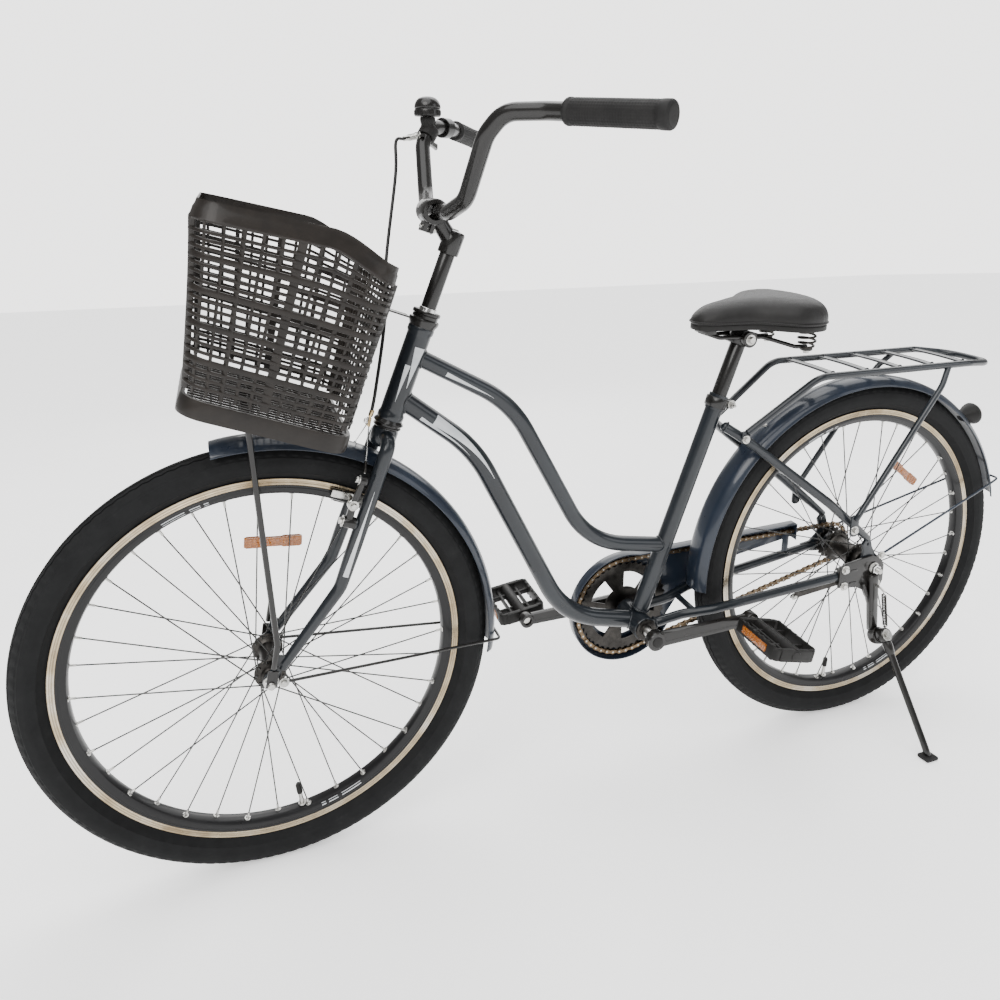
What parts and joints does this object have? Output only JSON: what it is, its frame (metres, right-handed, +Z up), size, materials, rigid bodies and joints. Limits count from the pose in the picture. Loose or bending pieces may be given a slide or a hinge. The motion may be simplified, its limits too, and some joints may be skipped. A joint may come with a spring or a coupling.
{
  "type": "bicycle on stand",
  "caption": "Step-through city bicycle on its side stand, with front basket, rear carrier, mudguards, chain guard, cantilever front brake, bell and sprung saddle.",
  "frame": {"origin": "on the floor under the middle of the whole bicycle, as it stands leaning on its side stand", "axes": "+Z up, -X towards the front wheel, -Y towards the rider's left, the side that the stand is on"},
  "size_m": [1.7152, 0.695, 1.1484],
  "materials": {
    "slate_paint": "gloss dark slate enamel",
    "navy_paint": "gloss dark navy enamel",
    "black_paint": "gloss black enamel",
    "black_plastic": "satin moulded plastic",
    "tyre_rubber": "matt",
    "tube_rubber": "matt",
    "rim_alloy": "turned brake track on black rim",
    "steel": "bright and blackened steel",
    "chain_steel": "oiled brown steel",
    "saddle_vinyl": "smooth satin vinyl",
    "amber_lens": "clear prismatic plastic",
    "dark_red_lens": "smoked red plastic"
  },
  "bodies": {
    "frame": {"head_tube": "slate_paint", "upper_tube": "slate_paint", "down_tube": "slate_paint", "seat_tube": "slate_paint", "bottom_bracket_shell": "slate_paint", "chain_stay_left": "slate_paint", "chain_stay_right": "slate_paint", "seat_stay_left": "slate_paint", "seat_stay_right": "slate_paint", "headset_lower_cup": "black_paint", "headset_upper_cup": "black_paint", "seat_clamp": "black_paint", "rear_axle": "steel", "rear_mudguard": "navy_paint", "rear_mudguard_stay": "navy_paint", "rear_rack": "slate_paint", "tail_lamp": "dark_red_lens", "chain_guard": "navy_paint", "chain": "chain_steel", "coaster_brake_arm": "steel", "kickstand_bracket": "black_paint"},
    "steering": {"fork": "slate_paint", "stem": "black_paint", "handlebar": "black_paint", "grip_left": "black_plastic", "grip_right": "black_plastic", "brake_lever_body": "black_plastic", "front_axle": "steel", "front_mudguard": "slate_paint", "front_mudguard_stay": "black_paint", "bell_base": "black_plastic", "brake_cable": "black_plastic", "basket": "black_plastic", "basket_strut": "black_paint"},
    "front_wheel": {"front_tyre": "tyre_rubber", "front_inner_tube": "tube_rubber", "front_rim": "rim_alloy", "front_hub": "steel", "front_reflector": "amber_lens"},
    "rear_wheel": {"rear_tyre": "tyre_rubber", "rear_inner_tube": "tube_rubber", "rear_rim": "rim_alloy", "rear_hub": "steel", "rear_reflector": "amber_lens"},
    "cranks": {"crank_axle": "steel", "chainring": "steel", "crank_arm_left": "black_paint", "crank_arm_right": "black_paint"},
    "pedal_left": {"pedal_left": "black_plastic"},
    "pedal_right": {"pedal_right": "black_plastic"},
    "rear_sprocket": {"rear_sprocket": "steel"},
    "kickstand": {"kickstand_leg": "black_paint", "kickstand_spring": "steel"},
    "saddle": {"seat_post": "black_paint", "saddle_frame": "black_paint", "saddle": "saddle_vinyl"},
    "brake_lever": {"brake_lever": "black_paint"},
    "brake_arm_left": {"brake_arm_left": "black_paint"},
    "brake_arm_right": {"brake_arm_right": "black_paint"},
    "bell_dome": {"bell_dome": "black_paint"}
  },
  "joints": [
    {"name": "steering", "type": "hinge", "parent": "frame", "child": "steering", "pos_m": [-0.31733, 0.03935, 0.73637], "axis": [0.3525, -0.1238, 0.9276], "range_deg": [-60, 60]},
    {"name": "front_wheel_spin", "type": "hinge", "parent": "steering", "child": "front_wheel", "pos_m": [-0.52721, 0.09391, 0.3275], "axis": [0, -0.9912, -0.1323], "continuous": true},
    {"name": "rear_wheel_spin", "type": "hinge", "parent": "frame", "child": "rear_wheel", "pos_m": [0.52479, 0.09391, 0.3275], "axis": [0, -0.9912, -0.1323], "continuous": true},
    {"name": "crank_spin", "type": "hinge", "parent": "frame", "child": "cranks", "pos_m": [0.07679, 0.10092, 0.27496], "axis": [0, -0.9912, -0.1323], "continuous": true},
    {"name": "rear_sprocket_spin", "type": "hinge", "parent": "frame", "child": "rear_sprocket", "pos_m": [0.52479, 0.09391, 0.3275], "axis": [0, -0.9912, -0.1323], "continuous": true},
    {"name": "pedal_left_spin", "type": "hinge", "parent": "cranks", "child": "pedal_left", "pos_m": [0.24372, 0.0984, 0.29382], "axis": [0, -0.9912, -0.1323], "continuous": true},
    {"name": "pedal_right_spin", "type": "hinge", "parent": "cranks", "child": "pedal_right", "pos_m": [-0.09013, 0.10343, 0.25611], "axis": [0, -0.9912, -0.1323], "continuous": true},
    {"name": "kickstand_fold", "type": "hinge", "parent": "frame", "child": "kickstand", "pos_m": [0.54479, 0.02348, 0.18998], "axis": [0, -0.913, 0.408], "range_deg": [0, 95], "stiffness_Nm_per_rad": 0.8, "springref_deg": -148.97, "deforming": ["kickstand_spring"]},
    {"name": "saddle_height", "type": "slide", "parent": "frame", "child": "saddle", "axis": [0.3322, -0.1247, 0.9349], "range_m": [-0.025, 0.09]},
    {"name": "brake_lever_pull", "type": "hinge", "parent": "steering", "child": "brake_lever", "pos_m": [-0.22721, 0.21662, 1.10153], "axis": [0, 0.1323, -0.9912], "range_deg": [0, 14], "stiffness_Nm_per_rad": 2, "springref_deg": -22.92},
    {"name": "brake_arm_left_close", "type": "hinge", "parent": "steering", "child": "brake_arm_left", "pos_m": [-0.41522, 0.01813, 0.54004], "axis": [-0.9358, -0.0466, 0.3494], "range_deg": [0, 4.5], "deforming": ["brake_cable"]},
    {"name": "brake_arm_right_close", "type": "hinge", "parent": "steering", "child": "brake_arm_right", "pos_m": [-0.41522, 0.11131, 0.55247], "axis": [-0.9358, -0.0466, 0.3494], "range_deg": [-4.5, 0]},
    {"name": "bell_turn", "type": "hinge", "parent": "steering", "child": "bell_dome", "pos_m": [-0.23821, 0.15258, 1.12022], "axis": [0, -0.1323, 0.9912], "range_deg": [-30, 30], "stiffness_Nm_per_rad": 0.05}
  ],
  "couplings": [
    {"joint": "rear_sprocket_spin", "follows": "crank_spin", "ratio": 2.4444},
    {"joint": "brake_arm_left_close", "follows": "brake_lever_pull", "ratio": 0.32143},
    {"joint": "brake_arm_right_close", "follows": "brake_lever_pull", "ratio": -0.32143}
  ]
}
